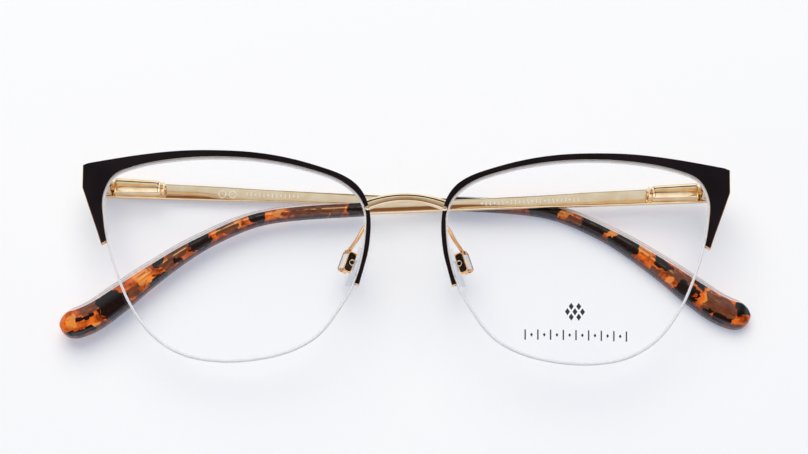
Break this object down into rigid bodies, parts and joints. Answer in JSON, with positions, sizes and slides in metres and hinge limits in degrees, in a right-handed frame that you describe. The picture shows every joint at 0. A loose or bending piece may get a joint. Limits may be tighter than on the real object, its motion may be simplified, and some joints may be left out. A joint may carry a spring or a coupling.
{
  "type": "half rim eyeglasses",
  "caption": "Folded half-rim eyeglasses: dark lacquered brow rims on gold metal, clear lenses held by nylon cord, silicone nose pads, sprung temple hinges and tortoiseshell tips.",
  "frame": {"origin": "centre of the footprint, on the surface the folded glasses lie on", "axes": "+X across the front towards the wearer's left side, +Y towards the brow, +Z out of the front of the lenses"},
  "size_m": [0.1404, 0.0434, 0.0176],
  "materials": {
    "lacquered_metal": "satin dark brown lacquer on gold-plated metal, the edges left gold",
    "gold_metal": "polished light gold plating",
    "lens": "clear polished lens",
    "nylon": "clear monofilament",
    "silicone": "clear soft silicone",
    "steel": "bright steel",
    "spring_steel": "drawn spring wire",
    "tortoise_acetate": "polished amber, brown and black tortoiseshell acetate"
  },
  "bodies": {
    "front": {"rim_right": "lacquered_metal", "lens_right": "lens", "rim_liner_right": "nylon", "nylon_cord_right": "nylon", "pad_arm_right": "gold_metal", "pad_screw_right": "steel", "end_piece_right": "gold_metal", "hinge_screw_right": "steel", "rim_left": "lacquered_metal", "lens_left": "lens", "rim_liner_left": "nylon", "nylon_cord_left": "nylon", "pad_arm_left": "gold_metal", "pad_screw_left": "steel", "end_piece_left": "gold_metal", "hinge_screw_left": "steel", "bridge": "gold_metal"},
    "hinge_slider_body_right": {"hinge_slider_right": "steel", "spring_retainer_right": "steel"},
    "temple_body_right": {"temple_right": "gold_metal", "temple_tip_right": "tortoise_acetate", "spring_housing_right": "gold_metal", "spring_sleeve_right": "steel", "flex_spring_right": "spring_steel"},
    "pad_body_right": {"nose_pad_right": "silicone", "pad_core_right": "steel"},
    "hinge_slider_body_left": {"hinge_slider_left": "steel", "spring_retainer_left": "steel"},
    "temple_body_left": {"temple_left": "gold_metal", "temple_tip_left": "tortoise_acetate", "spring_housing_left": "gold_metal", "spring_sleeve_left": "steel", "flex_spring_left": "spring_steel"},
    "pad_body_left": {"nose_pad_left": "silicone", "pad_core_left": "steel"}
  },
  "joints": [
    {"name": "temple_fold_right", "type": "hinge", "parent": "front", "child": "hinge_slider_body_right", "pos_m": [-0.06249, 0.01798, 0.00395], "axis": [0.0262, 0.9997, 0], "range_deg": [0, 101]},
    {"name": "spring_flex_right", "type": "slide", "parent": "hinge_slider_body_right", "child": "temple_body_right", "axis": [0.9997, -0.0262, 0], "range_m": [0, 0.0012], "stiffness_N_per_m": 1200, "springref_m": -0.0008, "deforming": ["flex_spring_right"]},
    {"name": "nose_pad_rock_right", "type": "hinge", "parent": "front", "child": "pad_body_right", "pos_m": [-0.01214, 0.00057, 0.00686], "axis": [0.4838, -0.2741, 0.8312], "range_deg": [-10, 10]},
    {"name": "temple_fold_left", "type": "hinge", "parent": "front", "child": "hinge_slider_body_left", "pos_m": [0.06148, 0.01798, 0.00655], "axis": [0.0628, -0.998, 0.0019], "range_deg": [0, 101]},
    {"name": "spring_flex_left", "type": "slide", "parent": "hinge_slider_body_left", "child": "temple_body_left", "axis": [-0.998, -0.0628, -0.0034], "range_m": [0, 0.0012], "stiffness_N_per_m": 1200, "springref_m": -0.0008, "deforming": ["flex_spring_left"]},
    {"name": "nose_pad_rock_left", "type": "hinge", "parent": "front", "child": "pad_body_left", "pos_m": [0.01105, 0.00057, 0.00734], "axis": [-0.5181, -0.2741, 0.8102], "range_deg": [-10, 10]}
  ]
}
